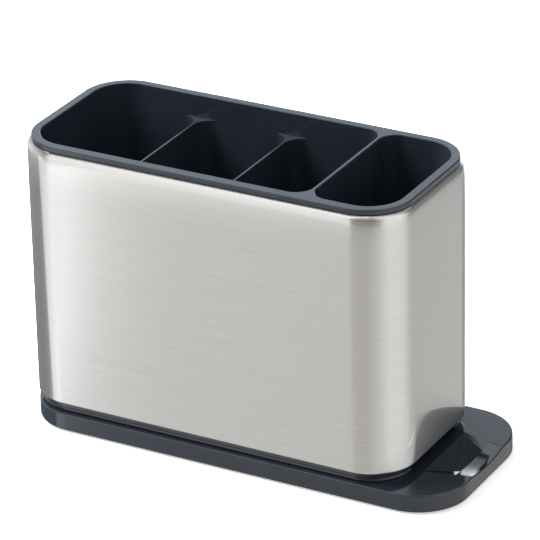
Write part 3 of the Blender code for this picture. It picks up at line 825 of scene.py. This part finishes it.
def make_camera():
    """Camera at the photograph's angle: it stands back from its aim, with a slight roll."""
    back = direction(CAMERA_AZIMUTH, CAMERA_ELEVATION)
    right = Vector(UP).cross(back).normalized()
    level = Matrix((right, back.cross(right), back)).transposed().to_4x4()
    turn = Matrix.Rotation(math.radians(CAMERA_ROLL), 4, "Z")
    camera = bpy.data.objects.new("camera", bpy.data.cameras.new("camera"))
    camera.data.lens = CAMERA_LENS
    camera.data.sensor_width = SENSOR_WIDTH
    camera.data.clip_start, camera.data.clip_end = CAMERA_CLIP
    camera.matrix_world = Matrix.Translation(Vector(CAMERA_AIM) + CAMERA_DISTANCE * back) @ level @ turn
    bpy.context.scene.collection.objects.link(camera)
    bpy.context.scene.camera = camera


FLOOR_SIZE = 8.0
FLOOR_DROP = 0.1 * MM
FLOOR_TONE = (0.8, 0.8, 0.8, 1)
FLOOR_LIFT = 0.5


def make_floor():
    """White floor with the caddy's shadow: matte, and lifted for the camera so that it is white elsewhere."""
    bpy.ops.mesh.primitive_plane_add(size=FLOOR_SIZE, location=(0, 0, -FLOOR_DROP))
    floor = bpy.context.object
    floor.name = "floor"
    material = bpy.data.materials.new("white_floor")
    nodes, links = empty_tree(material)
    matte = nodes.new("ShaderNodeBsdfDiffuse")
    matte.inputs["Color"].default_value = FLOOR_TONE
    lift = nodes.new("ShaderNodeEmission")
    lift.inputs["Strength"].default_value = FLOOR_LIFT
    lifted = add_shaders(nodes, links, matte.outputs["BSDF"], lift.outputs["Emission"])
    to_camera = nodes.new("ShaderNodeLightPath").outputs["Is Camera Ray"]
    out = nodes.new("ShaderNodeOutputMaterial")
    links.new(mix_shaders(nodes, links, to_camera, matte.outputs["BSDF"], lifted), out.inputs["Surface"])
    floor.data.materials.append(material)
    floor.visible_glossy = False


# The studio as the finishes mirror it, in rings one above the other. Each holds (azimuth, level, warmth):
# level 1 is white, and warmth is warm above zero and cool below. The low ring is the floor round the caddy,
# with its dark and light cards, and the others are walls and soft lights.
LOW_RING = (
    (-180, 0.30, 0.2), (-150, 0.10, 0.3), (-133, 0.10, 0.3), (-121, 0.17, 0.3), (-92, 0.21, 0.3),
    (-73, 0.27, 0.1), (-64, 0.34, 0.1), (-60, 0.54, 0.1), (-57, 0.70, 0.0), (-48, 0.80, 0.0),
    (-40, 0.91, 0.0), (-35, 0.86, 0.0), (-28, 0.80, 0.4), (-16, 0.82, 1.0), (3, 0.81, 1.2),
    (22, 0.85, 1.1), (34, 0.97, 0.8), (57, 1.05, 0.5), (75, 1.13, 0.4), (98, 1.08, 0.3),
    (107, 1.05, 0.3), (121, 0.97, 0.4), (130, 0.84, 0.6), (152, 0.82, 0.4), (158, 0.90, 0.3),
    (180, 0.30, 0.2))
MID_RING = (
    (-180, 2.00, -0.4), (-166, 4.00, -0.4), (-155.7, 4.00, -0.4), (-154.3, 0.50, -0.4), (-149, 0.55, -0.4),
    (-142, 0.50, 0.1), (-130, 0.70, 0.2), (-110, 1.20, 0.3), (-82, 1.00, 0.3), (-62, 0.90, 0.2),
    (-51, 0.60, 0.2), (-42, 0.90, 0.1), (-34, 1.45, 0.1), (-28, 1.62, 0.3), (-25, 1.55, 0.3),
    (-16, 0.50, 0.8), (-5, 0.38, 1.0), (33, 0.30, 0.8), (48, 0.60, 0.5), (62, 1.30, 0.4),
    (100, 1.40, 0.3), (115, 1.00, 0.4), (128, 0.45, 0.5), (150, 0.28, 0.0), (166, 0.28, 0.0),
    (180, 2.00, -0.4))
BACK_RING = (
    (-180, 0.06, -0.8), (-158.5, 0.06, -0.8), (-157, 0.98, -0.8), (-154, 1.02, -0.8), (-150, 0.98, -0.8),
    (-145, 1.35, -0.8), (-130, 0.85, 0.2), (-82, 0.72, 0.3), (-62, 0.60, 0.2), (-51, 0.30, 0.2),
    (-42, 0.60, 0.1), (-34, 1.55, 0.1), (-26, 1.45, 0.3), (-16, 0.40, 0.8), (-5, 0.25, 1.0),
    (33, 0.22, 0.8), (48, 0.60, 0.5), (62, 1.30, 0.4), (100, 1.40, 0.3), (115, 1.00, 0.4),
    (128, 0.35, 0.5), (150, 0.15, 0.0), (166, 0.15, 0.0), (180, 0.15, -0.8))
BAND_RING = (
    (-180, 0.10, -0.8), (-135, 0.10, -0.8), (-120, 0.70, 0.2), (-70, 0.70, 0.2), (-51, 0.40, 0.2),
    (-36, 1.60, 0.1), (-24, 1.60, 0.5), (-12, 0.25, 0.8), (33, 0.22, 0.8), (50, 0.70, 0.5),
    (65, 1.35, 0.4), (105, 1.35, 0.3), (128, 0.20, 0.5), (150, 0.10, 0.0), (180, 0.10, -0.8))
HIGH_RING = (
    (-180, 1.60, -0.6), (-130, 1.60, -0.6), (-118, 0.80, 0.0), (-90, 0.35, 0.0), (-54, 0.20, 0.0),
    (-45, 1.80, 0.1), (-36, 1.80, 0.1), (-24, 1.75, 0.6), (-10, 0.80, 0.6), (33, 0.60, 0.5),
    (60, 1.30, 0.3), (105, 1.35, 0.3), (130, 0.50, 0.2), (155, 0.40, 0.0), (180, 1.60, -0.6))
TOP_RING = (
    (-180, 1.60, -0.6), (-129, 1.60, -0.6), (-123, 8.00, -0.6), (-104, 8.00, -0.5), (-97, 0.30, 0.0),
    (-54, 0.20, 0.0), (-45, 1.80, 0.1), (-24, 1.75, 0.6), (-10, 0.80, 0.6), (33, 0.60, 0.5),
    (60, 1.30, 0.3), (105, 1.35, 0.3), (130, 0.50, 0.2), (155, 0.40, 0.0), (180, 1.60, -0.6))

# Each ring above the low one, after the elevations between which it takes over from the ring below it
HIGHER_RINGS = (
    (-24.0, -21.0, MID_RING), (14.0, 27.0, BACK_RING), (30.0, 34.0, BAND_RING), (35.5, 36.5, HIGH_RING),
    (50.0, 54.0, TOP_RING))

# The brightest level: the rings' colours are shares of it, and the world's strength is this level
TOP_LEVEL = 8.0

# What a warmth or coolness of 1 does to red and blue, as a share
WARM_RED = 0.015
WARM_BLUE = 0.07
COOL_RED = 0.12
COOL_BLUE = 0.10
AMBIENT = (0.80, 0.80, 0.80, 1)
WHITE = (1, 1, 1, 1)


def tinted(level, warmth):
    """A level as a colour for a node: warm above zero and cool below, as a share of the brightest level."""
    warm, cool = max(warmth, 0), max(-warmth, 0)
    share = level / TOP_LEVEL
    return (share * (1 + WARM_RED * warm - COOL_RED * cool), share,
            share * (1 - WARM_BLUE * warm + COOL_BLUE * cool), 1)


def make_world():
    """Studio round the caddy: white to the camera, even to matte colours, rings of light to gloss."""
    world = bpy.data.worlds.new("studio")
    bpy.context.scene.world = world
    nodes, links = empty_tree(world)
    split = nodes.new("ShaderNodeSeparateXYZ")
    links.new(nodes.new("ShaderNodeTexCoord").outputs["Generated"], split.inputs["Vector"])

    def calculate(operation, *terms):
        """Math node on sockets or numbers."""
        node = nodes.new("ShaderNodeMath")
        node.operation = operation
        for socket, term in zip(node.inputs, terms):
            if isinstance(term, bpy.types.NodeSocket):
                links.new(term, socket)
            else:
                socket.default_value = term
        return node.outputs["Value"]

    front = calculate("MULTIPLY", split.outputs["Y"], -1.0)
    azimuth = calculate("ARCTAN2", split.outputs["X"], front)
    turn = calculate("MULTIPLY_ADD", azimuth, 0.5 / math.pi, 0.5)
    elevation = calculate("MULTIPLY", calculate("ARCSINE", split.outputs["Z"]), 180 / math.pi)

    def ring(table):
        """Colours round the studio at one height."""
        stops = [(0.5 + degrees / 360, tinted(level, warmth)) for degrees, level, warmth in table]
        return ramp(nodes, links, turn, stops)

    def above(start, end):
        """How far an elevation has passed from one height of the studio to the next."""
        node = nodes.new("ShaderNodeMapRange")
        node.interpolation_type = "SMOOTHSTEP"
        set_inputs(node, {"From Min": start, "From Max": end})
        links.new(elevation, node.inputs["Value"])
        return node.outputs["Result"]

    def blend(factor, lower, upper):
        """Lower colour below, upper colour above."""
        node = nodes.new("ShaderNodeMix")
        node.data_type = "RGBA"
        links.new(factor, node.inputs["Factor"])
        links.new(lower, node.inputs["A"])
        links.new(upper, node.inputs["B"])
        return node.outputs["Result"]

    color = ring(LOW_RING)
    for start, end, table in HIGHER_RINGS:
        color = blend(above(start, end), color, ring(table))
    mirrored = nodes.new("ShaderNodeBackground")
    mirrored.inputs["Strength"].default_value = TOP_LEVEL
    links.new(color, mirrored.inputs["Color"])
    even = nodes.new("ShaderNodeBackground")
    even.inputs["Color"].default_value = AMBIENT
    white = nodes.new("ShaderNodeBackground")
    white.inputs["Color"].default_value = WHITE
    rays = nodes.new("ShaderNodeLightPath").outputs
    unseen = mix_shaders(nodes, links, rays["Is Diffuse Ray"],
                         mirrored.outputs["Background"], even.outputs["Background"])
    seen = mix_shaders(nodes, links, rays["Is Camera Ray"], unseen, white.outputs["Background"])
    out = nodes.new("ShaderNodeOutputWorld")
    links.new(seen, out.inputs["Surface"])


KEY_AZIMUTH = -80.0
KEY_ELEVATION = 55.0
KEY_DISTANCE = 1.2
KEY_SIZE = 0.7
KEY_POWER = 36.0


def make_key():
    """Soft light from the left: it lights matte surfaces, and the rings above show it to gloss."""
    away = direction(KEY_AZIMUTH, KEY_ELEVATION)
    light = bpy.data.lights.new("key", "AREA")
    light.shape = "DISK"
    light.size = KEY_SIZE
    light.energy = KEY_POWER
    key = bpy.data.objects.new("key", light)
    aim = away.to_track_quat("Z", "Y").to_matrix().to_4x4()
    key.matrix_world = Matrix.Translation(KEY_DISTANCE * away) @ aim
    key.visible_glossy = False
    key.visible_camera = False
    bpy.context.scene.collection.objects.link(key)


# Front card. It stands on the line through its foot, with distances along it counted from there to the right.
# Its low left end lies further right and is dim, its right end fades out as (distance, level), and the fade
# shifts from its top to its bottom.
CARD_FOOT = (-0.2515, -0.3061)
CARD_ALONG = (0.857, -0.515)
CARD_LEFT = -0.26
CARD_LOW_LEFT = -0.135
CARD_HIGH_Z = 0.03
CARD_BEND_Z = -0.08
CARD_LOW_Z = -0.20
CARD_HIGH_SHIFT = 0.008
CARD_LOW_SHIFT = -0.024
CARD_LEVEL = 0.85
CARD_LOW_LEFT_LEVEL = 0.1
CARD_SOFT = 0.035
CARD_FADE = ((-0.012, 0.75), (0.002, 0.41), (0.012, 0.22), (0.033, 0.08), (0.062, 0.0))

# Painted deck reflection, lying close over the deck round the spout. Its edge is (y, x, level past it), front
# to back.
DECK_REFLECTION_LIFT = 0.2 * MM
DECK_REFLECTION_INSET = 0.5 * MM
DECK_REFLECTION_BLUR = 4.0 * MM
DECK_REFLECTION_FOOT_LEVEL = 0.0
DECK_REFLECTION_EDGE_LEVEL = 0.16
DECK_REFLECTION_EDGE = (
    (-0.0495, 0.0950, 0.85), (-0.0475, 0.0950, 0.85), (-0.0445, 0.0951, 0.85), (-0.040, 0.0952, 0.85),
    (-0.030, 0.0975, 0.82), (-0.012, 0.1045, 0.76), (-0.001, 0.1085, 0.74), (0.012, 0.1120, 0.74),
    (0.022, 0.1152, 0.74), (0.032, 0.1165, 0.74), (0.038, 0.1158, 0.70), (0.0424, 0.1140, 0.60),
    (0.0455, 0.1110, 0.50), (0.0495, 0.1045, 0.40))


def glow_card(name, rows, levels):
    """A card that only gloss sees, from its face alone: each point adds its level to what is behind it."""
    sheet = Surface()
    sheet.grid(rows)
    mesh = sheet.mesh(name)
    levels = np.ravel(levels)
    add_uv(mesh, "level", np.column_stack([levels, np.zeros(len(levels))]))
    material = bpy.data.materials.new(name + "_glow")
    nodes, links = empty_tree(material)
    level = nodes.new("ShaderNodeUVMap")
    level.uv_map = "level"
    split = nodes.new("ShaderNodeSeparateXYZ")
    links.new(level.outputs["UV"], split.inputs["Vector"])
    glow = nodes.new("ShaderNodeEmission")
    links.new(split.outputs["X"], glow.inputs["Strength"])
    clear = nodes.new("ShaderNodeBsdfTransparent").outputs["BSDF"]
    face = add_shaders(nodes, links, glow.outputs["Emission"], clear)
    from_behind = nodes.new("ShaderNodeNewGeometry").outputs["Backfacing"]
    out = nodes.new("ShaderNodeOutputMaterial")
    links.new(mix_shaders(nodes, links, from_behind, face, clear), out.inputs["Surface"])
    mesh.materials.append(material)
    card = bpy.data.objects.new(name, mesh)
    bpy.context.scene.collection.objects.link(card)
    card.visible_camera = False
    card.visible_diffuse = False
    card.visible_shadow = False
    card.visible_transmission = False


def make_front_card():
    """Bright card low on the front left: a row of points at its top, one at its bend, one at its bottom."""
    fade_along, fade_level = np.array(CARD_FADE).T
    bend_left = np.interp(CARD_BEND_Z, (CARD_LOW_Z, CARD_HIGH_Z), (CARD_LOW_LEFT, CARD_LEFT))
    heights = (
        (CARD_HIGH_Z, CARD_LEFT, CARD_HIGH_SHIFT, CARD_LEVEL),
        (CARD_BEND_Z, bend_left, 0, CARD_LEVEL),
        (CARD_LOW_Z, CARD_LOW_LEFT, CARD_LOW_SHIFT, CARD_LOW_LEFT_LEVEL))
    rows, levels = [], []
    for z, left, shift, left_level in heights:
        along = np.concatenate([[left, left + CARD_SOFT], fade_along + shift])
        rows.append(at_height(np.outer(along, CARD_ALONG) + CARD_FOOT, z))
        levels.append(np.concatenate([[left_level, CARD_LEVEL], fade_level]))
    glow_card("card", rows, levels)


def make_painted_deck_reflection():
    """Painted reflection: a glow over the deck round the spout, which rounds off what the sleeve's right end
    mirrors.

    Rows from the tray's outside in: even painted light up to a soft stretch before the edge, low at the edge,
    painted dark at the sleeve's foot. At the tray's corners the outside follows their round.
    """
    low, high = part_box("base_tray")
    y, edge_x, outer_level = np.array(DECK_REFLECTION_EDGE).T
    past = np.maximum(np.abs(y) - (high.y - TRAY_CORNER), 0)
    radius = TRAY_CORNER - DECK_REFLECTION_INSET
    outer_x = high.x - TRAY_CORNER + np.sqrt(np.maximum(radius ** 2 - past ** 2, 0))
    edge_x = np.minimum(edge_x, outer_x - DECK_REFLECTION_INSET)
    soft_x = np.minimum(edge_x + DECK_REFLECTION_BLUR, outer_x)
    foot_x = np.full(len(y), sleeve_plan().right)
    z = low.z + DECK_HEIGHT + DECK_REFLECTION_LIFT
    rows = [at_height(np.stack([x, y], axis=1), z) for x in (outer_x, soft_x, edge_x, foot_x)]
    edge_level = np.full(len(y), DECK_REFLECTION_EDGE_LEVEL)
    foot_level = np.full(len(y), DECK_REFLECTION_FOOT_LEVEL)
    glow_card("painted_deck_reflection", rows, (outer_level, outer_level, edge_level, foot_level))


def main():
    """Builds the pieces, hangs them on their bodies and lights them."""
    steel = brushed_steel()
    insert_plastic = moulded_plastic("insert_plastic", INSERT_TONE, INSERT_ROUGHNESS)
    tray_plastic = moulded_plastic("tray_plastic", TRAY_TONE, TRAY_ROUGHNESS)
    rubber = foot_rubber()

    sleeve = make_sleeve(steel)
    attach(sleeve, "sleeve")
    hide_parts("steel_sleeve")
    insert = make_insert(insert_plastic)
    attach(insert, "insert")
    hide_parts("caddy_insert")
    tray = make_tray(tray_plastic)
    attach(tray, "base")
    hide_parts("base_tray")
    for name in FEET:
        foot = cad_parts[name]
        foot.data.materials.clear()
        foot.data.materials.append(rubber)

    make_camera()
    make_floor()
    make_world()
    make_key()
    make_front_card()
    # Painted reflection over the deck, which only gloss sees
    make_painted_deck_reflection()
    bpy.context.scene.view_settings.view_transform = "Standard"


main()
